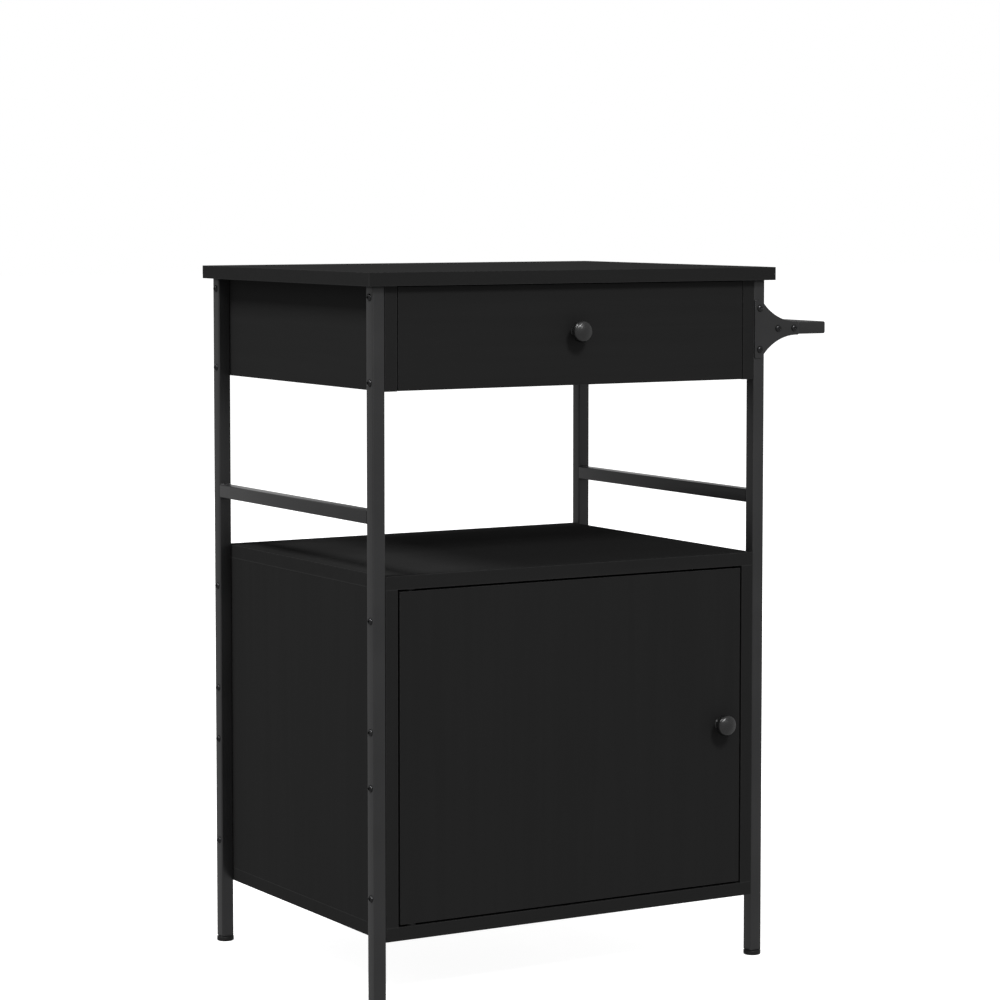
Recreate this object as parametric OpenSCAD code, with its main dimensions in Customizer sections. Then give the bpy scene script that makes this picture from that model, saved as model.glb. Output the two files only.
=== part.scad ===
// Kitchen island cart: a worktop on four square steel legs, with a drawer under the top,
// an open bay, a cabinet with one door below it and a handle on the right-hand side.
// X runs to the right, Y to the back and Z up. The floor is Z = 0, and the origin is
// midway along the whole outline, handle and knobs included.

/* [Overall] */
// Height of the worktop's upper face above the floor
cart_h = 800; // [780:5:860]
// Width of the worktop
top_w = 530; // [480:5:620]
// Depth of the worktop
top_d = 410; // [400:5:460]
// Distance the worktop reaches past the legs
overhang = 9; // [6:1:20]
// Thickness of the worktop, panels, shelf and door
board_t = 15; // [15:1:18]
// Thickness of the two back panels
back_t = 12; // [12:1:15]

/* [Steel frame] */
// Side of the square tube of the legs and rails
leg_w = 15; // [14:1:20]
// Wall of the square tube
tube_wall = 1.2; // [0.8:0.1:1.5]
// Corner radius of the square tube
tube_r = 1.5; // [1.5:0.25:3]
// Height of the side rails' centre above the floor
rail_z = 536; // [500:1:600]
// Diameter of the feet
foot_d = 20; // [16:1:24]
// Height of the feet below the legs
foot_h = 6; // [4:0.5:10]

/* [Panels] */
// Height of the panels around the drawer
apron_h = 113.5; // [108:0.5:130]
// Height of the cabinet's upper face above the floor
shelf_top = 472; // [420:1:490]
// Height of the cabinet's underside above the floor
cabinet_z = 72.5; // [60:0.5:110]
// Gap around the door
door_gap = 2.5; // [1.9:0.1:3]
// Gap around the drawer front
drawer_gap = 1.2; // [1.2:0.1:3]

/* [Handle] */
// Distance the handle bar reaches past the legs
handle_reach = 86; // [70:1:100]
// Width of the handle bar
handle_w = 74; // [56:1:74]
// Thickness of the handle bar
handle_t = 14; // [10:0.5:16]
// Height of the handle's centre below the worktop's upper face
handle_drop = 71; // [60:1:90]
// Half height of the bracket where it lies on the leg
bracket_half_h = 33.5; // [30:0.5:38]
// Half height of the bracket's arm
arm_half_h = 7.75; // [6.5:0.25:8]
// Length of the bracket's arm past the leg
arm_reach = 47; // [44:1:52]
// Thickness of the bracket plate
bracket_t = 2; // [1.5:0.25:3]
// Radius of the bracket's hollow curves
bracket_r = 60; // [52:1:66]

/* [Knobs] */
// Diameter of the knobs
knob_d = 24.5; // [20:0.5:30]
// Distance the knobs stand out from the fronts
knob_out = 22; // [18:1:28]
// Height of the drawer knob above the drawer front's lower edge
drawer_knob_h = 60; // [45:1:70]
// Height of the door knob above the door's lower edge
door_knob_h = 186; // [120:1:240]
// Distance of the door knob from the door's free edge
door_knob_inset = 28; // [22:1:50]

/* [Drawer] */
// Thickness of the drawer's sides and back
drawer_t = 12; // [12:1:14]
// Height of the drawer's sides
drawer_side_h = 80; // [70:1:86]
// Thickness of the drawer's bottom sheet
drawer_bottom_t = 3; // [3:0.5:4]
// Distance the drawer pulls out
drawer_travel = 260; // [150:5:270]

/* [Hidden] */
$fn = 48;
slip = 0.05;             // radial clearance of a fitted part in its hole
edge_r = 1;              // radius on the drawn-out edges of fittings

// Frame
under_top = cart_h - board_t;
leg_x = top_w / 2 - overhang;         // outer face of the legs, left and right
leg_y = top_d / 2 - overhang;         // outer face of the legs, front and back
leg_cx = leg_x - leg_w / 2;
leg_cy = leg_y - leg_w / 2;
foot_stem_h = 14;                     // stem of a foot inside its leg
panel_x = leg_x - leg_w;              // outer face of the side panels
inner_x = panel_x - board_t;          // inner face of the side panels
panel_cx = panel_x - board_t / 2;
apron_z = under_top - apron_h;
back_y = leg_y - back_t;              // front face of the back panels
shelf_z = shelf_top - board_t;
floor_z = cabinet_z + board_t;        // upper face of the bottom board
front_back_y = -leg_y + board_t;      // rear face of the door and the drawer front

// Whole outline, and the shift that puts its middle over the origin
handle_out = leg_x + handle_reach;
origin_x = -(handle_out - top_w / 2) / 2;
origin_y = -(top_d / 2 - leg_y - knob_out) / 2;

// Bolts through the legs into the panels, as heights above the floor
bolt_d = 5;
bolt_head_d = 8.2;
bolt_head_h = 2.6;
bolt_key = 3;
insert_d = 9;
insert_l = 10;
UPPER_BOLT_Z = [apron_z + 9.5, under_top - 12];
lower_h = shelf_z - floor_z;           // height of the lower side panels
LOWER_BOLT_Z = [for (share = [-0.41, -0.0825, 0.0825, 0.41]) floor_z + lower_h * (0.5 + share)];
BOLT_Z = concat(UPPER_BOLT_Z, LOWER_BOLT_Z);

// Handle
handle_z = cart_h - handle_drop;
handle_in = handle_out - handle_w;
arm_flat = 3;                         // straight end of the arm, beyond the curves
bracket_inset = 0.4;                  // from the leg's inner face to the bracket
bracket_bolt_dz = 23.7;
BAR_BOLT_X = [leg_x + 18.1, leg_x + 40.7];
bar_screw_l = 34;
rivet_nut_d = 7;
rivet_nut_l = 9;

// Cam joints, dowels and screws between the boards
cam_d = 15;
cam_set = 24;                         // from the joint to the cam's centre
cam_skin = 3;                         // board left under a cam
cam_bolt_d = 7;
cam_thread_d = 5;
cam_thread_l = 10;
dowel_d = 8;
dowel_l = 28;
dowel_in_face = 9;                    // depth of a dowel in the face of a board
joint_y = leg_y * 0.66;
dowel_y = leg_y * 0.4;
screw_d = 5;
screw_head_d = 9;
screw_l = 48;
small_screw_d = 3.5;
small_screw_l = 11;
knob_screw_d = 4;
knob_screw_in = 8;                    // depth of the screw in the knob

// Door and its pivots
door_x = inner_x - door_gap;
door_z0 = floor_z + door_gap;
door_z1 = shelf_z - door_gap;
pivot_x = -door_x + 16;
pivot_y = -leg_y + board_t / 2;
pivot_d = 5;
pivot_bush_d = 9;
pivot_bush_l = 10;
pivot_flange_d = 13;
pivot_in_door = 25;
pivot_in_bush = 9;
door_play = 0.15;                     // the door floats this far above its lower bush

// Magnet catch under the shelf board, and the strike plate on the door
strike_w = 34;
strike_t = 1;
strike_pin_d = 3;
strike_pin_l = 6;
catch_gap = 0.3;
catch_x = inner_x - 70;
catch_w = 44;
catch_body_w = 24;
catch_d = 14;
catch_h = 13;
catch_foot_t = 3;
catch_wall = 2;
catch_front = front_back_y + catch_gap + strike_t;
catch_y = catch_front + catch_d / 2 + 3;
catch_z = shelf_z - catch_h;          // underside of the catch
magnet_top = shelf_z - 4;
CATCH_SCREW_X = [catch_x - catch_w / 2 + 5, catch_x + catch_w / 2 - 5];

// Drawer
drawer_x = inner_x - drawer_gap;
drawer_z0 = apron_z + 0.4;
drawer_z1 = under_top - drawer_gap;
runner_space = 12.5;                  // between the drawer's side and the panel
box_x = inner_x - runner_space;
box_in_x = box_x - drawer_t;
runner_z = apron_z + 6.5;             // underside of the fixed runner
box_z = runner_z + 4;                 // lower edge of the drawer's sides
box_l = back_y - front_back_y - 15;
box_y1 = front_back_y + box_l;
bottom_z = box_z + 10;                // underside of the drawer's bottom sheet
groove = 5;
groove_play = 0.1;

// Runners: u is the distance from the panel's inner face, v the height above the runner
sheet = 1.2;
fixed_h = 24;
fixed_flange = 9.5;
fixed_lip = 4;
ride_v = 18;                          // underside of the moving runner's upper flange
ride_u = 2.8;                         // outer edge of that flange
box_v = box_z - runner_z;             // lower edge of the drawer's sides
roller_r = 8;
roller_w = 5;
roller_play = 0.05;
fixed_roller_v = ride_v - roller_play - roller_r;
moving_roller_v = sheet + roller_play + roller_r;
fixed_roller_u = 3.2;
moving_roller_u = 3;
axle_d = 5;
axle_head_d = 8;
axle_head_h = 0.9;
fixed_y0 = front_back_y + 2;
fixed_y1 = box_y1 + 6;
fixed_roller_y = fixed_y0 + 11;
moving_roller_y = box_y1 - 12;
stop_h = 3;
stop_play = 0.4;
RUNNER_SCREW_Y = [fixed_y0 + 37, (fixed_y0 + fixed_y1) / 2, fixed_y1 - 30];

// ---- Colours ----
BOARD = "#242424";
INSIDE_BOARD = "#2b2b2b";
STEEL = "#3a3a3b";
PLASTIC = "#1e1e1e";
ZINC = "#a9acb0";
NYLON = "#e8e6df";
BEECH = "#c9a36b";
GUNMETAL = "#4a4b4d";

// ---- Shapes that repeat ----

// Moves the children from the worktop's middle to the origin
module placed() {
    translate([origin_x, origin_y, 0]) children();
}

// Box between two corners
module block(low, high) {
    translate(low) cube(high - low);
}

// Points of an arc around c, from angle a0 to a1 in n steps
function arc(c, r, a0, a1, n) = [for (i = [0:n]) let (a = a0 + (a1 - a0) * i / n) c + r * [cos(a), sin(a)]];

// Outline of a rectangle with round corners, around the origin
function round_rect(w, d, r) = [
    for (q = [0:3])
        let (s = [[1, 1], [-1, 1], [-1, -1], [1, -1]][q])
        each arc([s[0] * (w / 2 - r), s[1] * (d / 2 - r)], r, 90 * q, 90 * q + 90, 5)
];

// Square tube along Z, from z0 to z1
module square_tube(z0, z1) {
    translate([0, 0, z0]) linear_extrude(z1 - z0) difference() {
        polygon(round_rect(leg_w, leg_w, tube_r));
        polygon(round_rect(leg_w - 2 * tube_wall, leg_w - 2 * tube_wall, tube_r - tube_wall + 0.2));
    }
}

// Screw with a domed head above Z = 0, its shank down to -len and a hexagonal key hole
module domed_screw(head_d, head_h, d, len, key) {
    difference() {
        rotate_extrude() polygon(concat(
            [[0, head_h], [0, -len], [d / 2 - 0.5, -len], [d / 2, -len + 0.5], [d / 2, 0]],
            [for (a = [0:15:75]) [head_d / 2 * cos(a), head_h * sin(a)]]
        ));
        translate([0, 0, head_h * 0.35]) cylinder(d = key, h = head_h, $fn = 6);
    }
}

// The same screw in the size used on the legs, brackets and handle
module leg_screw(len) {
    domed_screw(bolt_head_d, bolt_head_h, bolt_d, len, bolt_key);
}

// Screw with a countersunk head flush with Z = 0 and its point at -len
module countersunk_screw(d, head_d, len) {
    head_h = (head_d - d) / 2;
    difference() {
        rotate_extrude() polygon([
            [0, 0], [0, -len], [d / 2 - 0.8, -len + 1], [d / 2, -len + 4], [d / 2, -head_h], [head_d / 2, 0]
        ]);
        for (a = [0, 90]) rotate(a) block([-head_d / 4, -0.5, -1.4], [head_d / 4, 0.5, 1]);
    }
}

// Hole for a countersunk screw
module countersunk_hole(d, head_d, len) {
    head_h = (head_d - d) / 2 + slip;
    translate([0, 0, -len]) cylinder(d = d + 2 * slip, h = len + 1);
    translate([0, 0, -head_h]) cylinder(d1 = d + 2 * slip, d2 = head_d + 2 * slip, h = head_h);
}

// Moves the children to joint j, a place and a turn: the joint's own board lies below Z = 0
// and its partner above, and a cam faces +Y
module at_joint(j) {
    translate(j[0]) rotate(j[1]) children();
}

// Cam drum in a board of thickness t, and the channel that takes the bolt's head
module cam_drum(t) {
    translate([0, t / 2, -cam_set]) rotate([90, 0, 0]) difference() {
        cylinder(d = cam_d, h = t - cam_skin);
        translate([0, 0, t / 2]) rotate([-90, 0, 0]) cylinder(d = cam_bolt_d + 1, h = cam_d);
        translate([0, 0, t / 2]) sphere(d = cam_bolt_d + 1);
        for (a = [0, 90]) rotate(a) block([-4, -0.7, -1], [4, 0.7, 1.5]);
    }
}
module cam_bolt() {
    rotate_extrude() polygon([
        [0, cam_thread_l], [0, -cam_set - 1], [2.5, -cam_set - 1], [cam_bolt_d / 2, -cam_set],
        [cam_bolt_d / 2, -cam_set + 3], [2.2, -cam_set + 4.5], [2.2, -8], [cam_bolt_d / 2, -7],
        [cam_bolt_d / 2, -0.2], [cam_thread_d / 2, -0.2], [cam_thread_d / 2, cam_thread_l]
    ]);
}
// Holes of a cam joint in its own board of thickness t
module cam_cut(t) {
    translate([0, t / 2 + 1, -cam_set]) rotate([90, 0, 0])
        cylinder(d = cam_d + 2 * slip, h = t - cam_skin + 1 + slip);
    translate([0, 0, -cam_set - 1.5]) cylinder(d = cam_bolt_d + 1, h = cam_set + 2.5);
}
// Hole for a cam bolt's thread in the partner board
module cam_thread_cut() {
    translate([0, 0, -1]) cylinder(d = cam_thread_d + 2 * slip, h = cam_thread_l + 1 + slip);
}
module dowel() {
    r = dowel_d / 2;
    low = dowel_in_face - dowel_l;
    rotate_extrude() polygon([
        [0, dowel_in_face], [0, low], [r - 1, low], [r, low + 1], [r, dowel_in_face - 1],
        [r - 1, dowel_in_face]
    ]);
}
module dowel_cut() {
    translate([0, 0, dowel_in_face - dowel_l - 1]) cylinder(d = dowel_d + 2 * slip, h = dowel_l + 1.5);
}

// ---- Places of the joints ----
TURN_LEFT = [0, 0, -90];              // on a left panel: the cam faces the middle
TURN_RIGHT = [0, 0, 90];
BACK_TO_LEFT = [180, 90, 0];          // on a back panel: its end meets the left panel
BACK_TO_RIGHT = [180, -90, 0];
SIDE_TO_FRONT_L = [90, -90, 0];       // on a drawer side: its end meets the drawer front
SIDE_TO_FRONT_R = [90, 90, 0];
function edge_joints(side, z, ys) = [
    for (y = ys) [[side * panel_cx, y, z], side < 0 ? TURN_LEFT : TURN_RIGHT]
];
function back_joints(side, zs) = [
    for (z = zs) [[side * inner_x, back_y + back_t / 2, z], side < 0 ? BACK_TO_LEFT : BACK_TO_RIGHT]
];
CAM_YS = [-joint_y, joint_y];
DOWEL_YS = [-dowel_y, dowel_y];
UPPER_BACK_CAM_Z = [apron_z + apron_h * 0.3];
UPPER_BACK_DOWEL_Z = [apron_z + apron_h * 0.7];
LOWER_BACK_CAM_Z = [floor_z + 60, shelf_z - 60];
LOWER_BACK_DOWEL_Z = [floor_z + 100, shelf_z - 100];
BACK_CAM_Z = concat(UPPER_BACK_CAM_Z, LOWER_BACK_CAM_Z);
BACK_DOWEL_Z = concat(UPPER_BACK_DOWEL_Z, LOWER_BACK_DOWEL_Z);
TOP_EDGES = [under_top, shelf_z];     // upper edges of the upper and lower side panels
function drawer_joint(side, z) = [
    [side * (box_x - drawer_t / 2), front_back_y, z], side < 0 ? SIDE_TO_FRONT_L : SIDE_TO_FRONT_R
];
drawer_cam_z = box_z + drawer_side_h - 18;
drawer_dowel_z = box_z + drawer_side_h - 40;
function drawer_back_dowels(side) = [
    for (z = [bottom_z + 16, box_z + drawer_side_h - 16])
        [[side * box_in_x, box_y1 - drawer_t / 2, z], [0, side * 90, 0]]
];
BOTTOM_SCREWS = concat(
    [for (s = [-1, 1], y = CAM_YS) [s * panel_cx, y]],
    [for (s = [-1, 1]) [s * inner_x * 0.5, back_y + back_t / 2]]
);

// ---- Boards of the carcase ----
module worktop() {
    color(BOARD) placed() difference() {
        block([-top_w / 2, -top_d / 2, under_top], [top_w / 2, top_d / 2, cart_h]);
        for (s = [-1, 1]) {
            for (j = edge_joints(s, under_top, CAM_YS)) at_joint(j) cam_thread_cut();
            for (j = edge_joints(s, under_top, DOWEL_YS)) at_joint(j) dowel_cut();
        }
    }
}

// Holes in a side panel for the inserts that the leg bolts screw into
module insert_cuts(side, heights) {
    for (s = [-1, 1], z = heights) translate([side * panel_x, s * leg_cy, z]) rotate([0, -side * 90, 0])
        translate([0, 0, -1]) cylinder(d = insert_d + 2 * slip, h = insert_l + 1 + slip);
}

module upper_side_panel(side) {
    color(BOARD) placed() difference() {
        block([side < 0 ? -panel_x : inner_x, -leg_y, apron_z],
            [side < 0 ? -inner_x : panel_x, leg_y, under_top]);
        insert_cuts(side, UPPER_BOLT_Z);
        for (j = edge_joints(side, under_top, CAM_YS)) at_joint(j) cam_cut(board_t);
        for (j = edge_joints(side, under_top, DOWEL_YS)) at_joint(j) dowel_cut();
        for (j = back_joints(side, UPPER_BACK_CAM_Z)) at_joint(j) cam_thread_cut();
        for (j = back_joints(side, UPPER_BACK_DOWEL_Z)) at_joint(j) dowel_cut();
        for (y = RUNNER_SCREW_Y) runner_screw_place(side, y) small_screw_cut();
    }
}
module upper_left_panel() {
    upper_side_panel(-1);
}
module upper_right_panel() {
    upper_side_panel(1);
}

module upper_back_panel() {
    color(BOARD) placed() difference() {
        block([-inner_x, back_y, apron_z], [inner_x, leg_y, under_top]);
        for (s = [-1, 1]) {
            for (j = back_joints(s, UPPER_BACK_CAM_Z)) at_joint(j) cam_cut(back_t);
            for (j = back_joints(s, UPPER_BACK_DOWEL_Z)) at_joint(j) dowel_cut();
        }
    }
}

module shelf_board() {
    color(BOARD) placed() difference() {
        block([-panel_x, -leg_y, shelf_z], [panel_x, leg_y, shelf_top]);
        for (s = [-1, 1]) {
            for (j = edge_joints(s, shelf_z, CAM_YS)) at_joint(j) cam_thread_cut();
            for (j = edge_joints(s, shelf_z, DOWEL_YS)) at_joint(j) dowel_cut();
        }
        translate([pivot_x, pivot_y, shelf_z]) bush_cut();
        for (x = CATCH_SCREW_X) translate([x, catch_y, shelf_z]) rotate([180, 0, 0]) small_screw_cut();
    }
}

module lower_side_panel(side) {
    color(BOARD) placed() difference() {
        block([side < 0 ? -panel_x : inner_x, -leg_y, floor_z],
            [side < 0 ? -inner_x : panel_x, leg_y, shelf_z]);
        insert_cuts(side, LOWER_BOLT_Z);
        for (j = edge_joints(side, shelf_z, CAM_YS)) at_joint(j) cam_cut(board_t);
        for (j = edge_joints(side, shelf_z, DOWEL_YS)) at_joint(j) dowel_cut();
        for (y = DOWEL_YS) translate([side * panel_cx, y, floor_z]) rotate([180, 0, 0]) dowel_cut();
        for (j = back_joints(side, LOWER_BACK_CAM_Z)) at_joint(j) cam_thread_cut();
        for (j = back_joints(side, LOWER_BACK_DOWEL_Z)) at_joint(j) dowel_cut();
        for (y = CAM_YS) translate([side * panel_cx, y, cabinet_z]) rotate([180, 0, 0])
            countersunk_hole(screw_d, screw_head_d, screw_l + 1);
    }
}
module lower_left_panel() {
    lower_side_panel(-1);
}
module lower_right_panel() {
    lower_side_panel(1);
}

module lower_back_panel() {
    color(BOARD) placed() difference() {
        block([-inner_x, back_y, floor_z], [inner_x, leg_y, shelf_z]);
        for (s = [-1, 1]) {
            for (j = back_joints(s, LOWER_BACK_CAM_Z)) at_joint(j) cam_cut(back_t);
            for (j = back_joints(s, LOWER_BACK_DOWEL_Z)) at_joint(j) dowel_cut();
            translate([s * inner_x * 0.5, back_y + back_t / 2, cabinet_z]) rotate([180, 0, 0])
                countersunk_hole(screw_d, screw_head_d, screw_l + 1);
        }
    }
}

module bottom_board() {
    color(BOARD) placed() difference() {
        block([-panel_x, -leg_y, cabinet_z], [panel_x, leg_y, floor_z]);
        for (p = BOTTOM_SCREWS) translate([p[0], p[1], cabinet_z]) rotate([180, 0, 0])
            countersunk_hole(screw_d, screw_head_d, screw_l + 1);
        for (s = [-1, 1], y = DOWEL_YS)
            translate([s * panel_cx, y, floor_z]) rotate([180, 0, 0]) dowel_cut();
        translate([pivot_x, pivot_y, floor_z]) rotate([180, 0, 0]) bush_cut();
    }
}

// ---- Steel frame ----
module leg(sx, sy) {
    color(STEEL) placed() difference() {
        translate([sx * leg_cx, sy * leg_cy, 0]) square_tube(foot_h, under_top);
        for (z = BOLT_Z) translate([sx * leg_cx, sy * leg_cy, z]) rotate([0, 90, 0])
            translate([0, 0, -leg_w]) cylinder(d = bolt_d + 0.5, h = 2 * leg_w);
        if (sx > 0) for (dz = [-bracket_bolt_dz, bracket_bolt_dz])
            translate([leg_cx, sy * leg_y, handle_z + dz]) rotate([sy * 90, 0, 0])
                translate([0, 0, -1]) cylinder(d = rivet_nut_d + 2 * slip, h = leg_w / 2);
    }
}
module front_left_leg() {
    leg(-1, -1);
}
module front_right_leg() {
    leg(1, -1);
}
module rear_left_leg() {
    leg(-1, 1);
}
module rear_right_leg() {
    leg(1, 1);
}

module rail(side) {
    color(STEEL) placed() translate([side * leg_cx, 0, rail_z]) rotate([90, 0, 0])
        square_tube(-leg_y + leg_w, leg_y - leg_w);
}
module left_rail() {
    rail(-1);
}
module right_rail() {
    rail(1);
}

module leg_top_plugs() {
    w = leg_w - 2 * tube_wall - 2 * slip;
    color(PLASTIC) placed() for (sx = [-1, 1], sy = [-1, 1])
        translate([sx * leg_cx, sy * leg_cy, under_top - 8]) linear_extrude(8)
            polygon(round_rect(w, w, tube_r - tube_wall + 0.2));
}

module feet() {
    w = leg_w - 2 * tube_wall - 2 * slip;
    color(PLASTIC) placed() for (sx = [-1, 1], sy = [-1, 1])
        translate([sx * leg_cx, sy * leg_cy, 0]) union() {
            rotate_extrude() polygon(concat(
                [[0, foot_h], [0, 0]],
                arc([foot_d / 2 - edge_r, edge_r], edge_r, -90, 0, 3),
                arc([foot_d / 2 - edge_r, foot_h - edge_r], edge_r, 0, 90, 3)
            ));
            translate([0, 0, foot_h - 1]) linear_extrude(foot_stem_h + 1)
                polygon(round_rect(w, w, tube_r - tube_wall + 0.2));
        }
}

module leg_bolts() {
    color(STEEL) placed() for (sx = [-1, 1], sy = [-1, 1], z = BOLT_Z)
        translate([sx * leg_x, sy * leg_cy, z]) rotate([0, sx * 90, 0]) leg_screw(leg_w + insert_l - 1);
}

module panel_inserts() {
    color(ZINC) placed() for (sx = [-1, 1], sy = [-1, 1], z = BOLT_Z)
        translate([sx * panel_x, sy * leg_cy, z]) rotate([0, -sx * 90, 0]) difference() {
            cylinder(d = insert_d, h = insert_l);
            translate([0, 0, -1]) cylinder(d = bolt_d + 2 * slip, h = insert_l + 2);
        }
}

// ---- Handle ----
module handle_bar() {
    color(INSIDE_BOARD) placed() difference() {
        translate([handle_out - handle_w / 2, leg_y, handle_z]) rotate([90, 0, 0])
            linear_extrude(2 * leg_y) polygon(round_rect(handle_w, handle_t, 2));
        for (s = [-1, 1], x = BAR_BOLT_X) translate([x, s * leg_y, handle_z]) rotate([s * -90, 0, 0])
            translate([0, 0, -bar_screw_l]) cylinder(d = bolt_d + 2 * slip, h = bar_screw_l + 1);
    }
}

// Half of the bracket's outline above its centre line, from the arm's end to the leg
function bracket_half() =
    let (xc = leg_x + arm_reach - arm_flat, zc = arm_half_h + bracket_r,
         a1 = 270 - acos((zc - bracket_half_h) / bracket_r))
    concat([[leg_x + arm_reach, arm_half_h]], arc([xc, zc], bracket_r, 270, a1, 10),
        [[panel_x + bracket_inset, bracket_half_h]]);

module handle_bracket(s) {
    upper = bracket_half();
    lower = [for (i = [len(upper) - 1:-1:0]) [upper[i][0], -upper[i][1]]];
    color(STEEL) placed() difference() {
        translate([0, s < 0 ? -leg_y : leg_y + bracket_t, handle_z]) rotate([90, 0, 0])
            linear_extrude(bracket_t) polygon(concat(upper, lower));
        for (dz = [-bracket_bolt_dz, bracket_bolt_dz]) bolt_through([leg_cx, s * leg_y, handle_z + dz]);
        for (x = BAR_BOLT_X) bolt_through([x, s * leg_y, handle_z]);
    }
}
module bolt_through(p) {
    translate(p) rotate([90, 0, 0]) cylinder(d = bolt_d + 0.4, h = 4 * bracket_t, center = true);
}
module front_handle_bracket() {
    handle_bracket(-1);
}
module rear_handle_bracket() {
    handle_bracket(1);
}

// Places a screw on the outer face of a bracket, pointing into the cart
module at_bracket(s, x, z) {
    translate([x, s * (leg_y + bracket_t), z]) rotate([s * -90, 0, 0]) children();
}
module bracket_bolts() {
    color(STEEL) placed() for (s = [-1, 1], dz = [-bracket_bolt_dz, bracket_bolt_dz])
        at_bracket(s, leg_cx, handle_z + dz) leg_screw(bracket_t + rivet_nut_l - 1);
}
module bracket_rivet_nuts() {
    color(ZINC) placed() for (s = [-1, 1], dz = [-bracket_bolt_dz, bracket_bolt_dz])
        translate([leg_cx, s * leg_y, handle_z + dz]) rotate([s * 90, 0, 0]) difference() {
            cylinder(d = rivet_nut_d, h = rivet_nut_l);
            translate([0, 0, -1]) cylinder(d = bolt_d + 2 * slip, h = rivet_nut_l + 2);
        }
}
module handle_bar_screws() {
    color(STEEL) placed() for (s = [-1, 1], x = BAR_BOLT_X)
        at_bracket(s, x, handle_z) leg_screw(bracket_t + bar_screw_l - 1);
}

// ---- Board joints of the carcase ----
module cam_locks() {
    color(ZINC) placed() {
        for (s = [-1, 1], z = TOP_EDGES, j = edge_joints(s, z, CAM_YS)) at_joint(j) cam_drum(board_t);
        for (s = [-1, 1], j = back_joints(s, BACK_CAM_Z)) at_joint(j) cam_drum(back_t);
    }
}
module cam_bolts() {
    color(ZINC) placed() {
        for (s = [-1, 1], z = TOP_EDGES, j = edge_joints(s, z, CAM_YS)) at_joint(j) cam_bolt();
        for (s = [-1, 1], j = back_joints(s, BACK_CAM_Z)) at_joint(j) cam_bolt();
    }
}
module wood_dowels() {
    color(BEECH) placed() {
        for (s = [-1, 1], z = TOP_EDGES, j = edge_joints(s, z, DOWEL_YS)) at_joint(j) dowel();
        for (s = [-1, 1], y = DOWEL_YS) translate([s * panel_cx, y, floor_z]) rotate([180, 0, 0]) dowel();
        for (s = [-1, 1], j = back_joints(s, BACK_DOWEL_Z)) at_joint(j) dowel();
    }
}
module carcase_screws() {
    color(ZINC) placed() for (p = BOTTOM_SCREWS) translate([p[0], p[1], cabinet_z]) rotate([180, 0, 0])
        countersunk_screw(screw_d, screw_head_d, screw_l);
}

// ---- Runners ----
// Pan-head screw: its head stands on Z = 0 and its shank goes down
module small_screw() {
    rotate_extrude() polygon([
        [0, 1.4], [0, -small_screw_l], [0.4, -small_screw_l], [small_screw_d / 2, -small_screw_l + 3],
        [small_screw_d / 2, 0], [2.5, 0], [2.3, 1], [1.6, 1.4]
    ]);
}
module small_screw_cut() {
    translate([0, 0, -small_screw_l - slip]) cylinder(d = small_screw_d + 2 * slip, h = small_screw_l + 2);
}
// Places a screw of the fixed runner with its head on the runner's web
module runner_screw_place(side, y) {
    translate([side * (inner_x - sheet), y, runner_z + 20.2]) rotate([0, -side * 90, 0]) children();
}
module small_screws() {
    color(ZINC) placed() {
        for (s = [-1, 1], y = RUNNER_SCREW_Y) runner_screw_place(s, y) small_screw();
        for (x = CATCH_SCREW_X) catch_screw_place(x) small_screw();
    }
}

// Turns a runner section, drawn as u and v, into a length along Y on one side of the cart
module along(side, y0, y1) {
    translate([side * inner_x, y1, runner_z]) mirror([side < 0 ? 0 : 1, 0, 0]) rotate([90, 0, 0])
        linear_extrude(y1 - y0) children();
}
// Places an axle along +Z outwards from distance u on the panel's inner face
module at_runner(side, u, y, v) {
    translate([side * (inner_x - u), y, runner_z + v]) rotate([0, -side * 90, 0]) children();
}

module fixed_runner(side) {
    moving_rest = moving_roller_y + sqrt(pow(roller_r, 2) - pow(roller_r - stop_h, 2)) + stop_play;
    moving_out = 2 * moving_roller_y - moving_rest - drawer_travel;
    color(NYLON) placed() difference() {
        union() {
            along(side, fixed_y0, fixed_y1) polygon([
                [0, 0], [fixed_flange, 0], [fixed_flange, fixed_lip], [fixed_flange - sheet, fixed_lip],
                [fixed_flange - sheet, sheet], [sheet, sheet], [sheet, fixed_h - sheet],
                [fixed_flange - 3, fixed_h - sheet], [fixed_flange - 3, fixed_h], [0, fixed_h]
            ]);
            for (y = [moving_rest, moving_out - sheet])
                along(side, y, y + sheet) translate([sheet / 2, sheet / 2])
                    square([fixed_flange - sheet * 1.5, stop_h + sheet / 2]);
        }
        for (y = RUNNER_SCREW_Y) runner_screw_place(side, y) small_screw_cut();
        at_runner(side, -1, fixed_roller_y, fixed_roller_v) cylinder(d = axle_d + 2 * slip, h = 3);
    }
}
module left_cabinet_runner() {
    fixed_runner(-1);
}
module right_cabinet_runner() {
    fixed_runner(1);
}

module moving_runner(side) {
    color(NYLON) placed() difference() {
        along(side, front_back_y, box_y1) polygon([
            [ride_u, ride_v], [runner_space - sheet, ride_v], [runner_space - sheet, box_v - sheet],
            [runner_space + drawer_t, box_v - sheet], [runner_space + drawer_t, box_v],
            [runner_space, box_v], [runner_space, ride_v + sheet], [ride_u, ride_v + sheet]
        ]);
        at_runner(side, runner_space - 3, moving_roller_y, moving_roller_v)
            cylinder(d = axle_d + 2 * slip, h = 4);
        for (y = RUNNER_SCREW_Y) drawer_screw_place(side, y) small_screw_cut();
    }
}
module left_drawer_runner() {
    moving_runner(-1);
}
module right_drawer_runner() {
    moving_runner(1);
}
// Places a screw of the moving runner, upwards into the drawer side's lower edge
module drawer_screw_place(side, y) {
    translate([side * (box_x - drawer_t / 2), y, box_z - sheet]) rotate([180, 0, 0]) children();
}
module drawer_runner_screws() {
    color(ZINC) placed() for (s = [-1, 1], y = RUNNER_SCREW_Y) drawer_screw_place(s, y) small_screw();
}

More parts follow.
